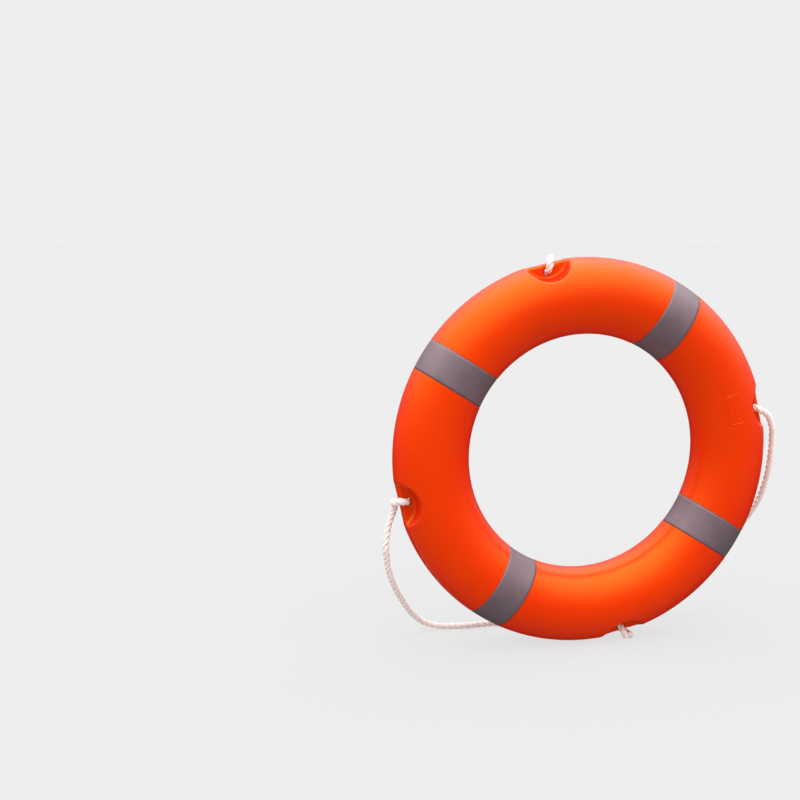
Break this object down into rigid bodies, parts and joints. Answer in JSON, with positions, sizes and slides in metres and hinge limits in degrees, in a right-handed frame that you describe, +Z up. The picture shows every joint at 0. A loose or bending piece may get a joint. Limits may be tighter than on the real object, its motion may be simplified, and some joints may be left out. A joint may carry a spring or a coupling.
{
  "type": "ring lifebuoy",
  "caption": "Orange moulded ring lifebuoy with grey reflective bands and a white rope grab line through its rim eyes, its ends knotted behind the lowest eye.",
  "frame": {"origin": "lowest point of the rim, where the standing ring touches the ground, in the ring's mid plane", "axes": "+Z up across the ring through its centre; Y along the ring axis with -Y out of the front face; +X to the right seen from the front"},
  "size_m": [0.6412, 0.1402, 0.6037],
  "materials": {
    "shell_orange": "satin, rotation moulded",
    "plug_orange": "moulded, smooth",
    "core_foam": "closed-cell foam",
    "retro_tape": "retro-reflective, fine beads",
    "rope_white": "twisted three-strand"
  },
  "bodies": {
    "root": {"outer_shell": "shell_orange", "foam_core": "core_foam", "filler_plug": "plug_orange", "vent_plug": "plug_orange", "reflective_tape_upper_right": "retro_tape", "reflective_tape_upper_left": "retro_tape", "reflective_tape_lower_left": "retro_tape", "reflective_tape_lower_right": "retro_tape", "grab_line_upper_left": "rope_white", "grab_line_upper_right": "rope_white", "grab_line_lower_left": "rope_white", "grab_line_lower_right": "rope_white", "eye_turn_top": "rope_white", "eye_turn_left": "rope_white", "eye_turn_right": "rope_white", "eye_turn_bottom": "rope_white", "end_knot": "rope_white", "end_tail": "rope_white"}
  },
  "joints": []
}
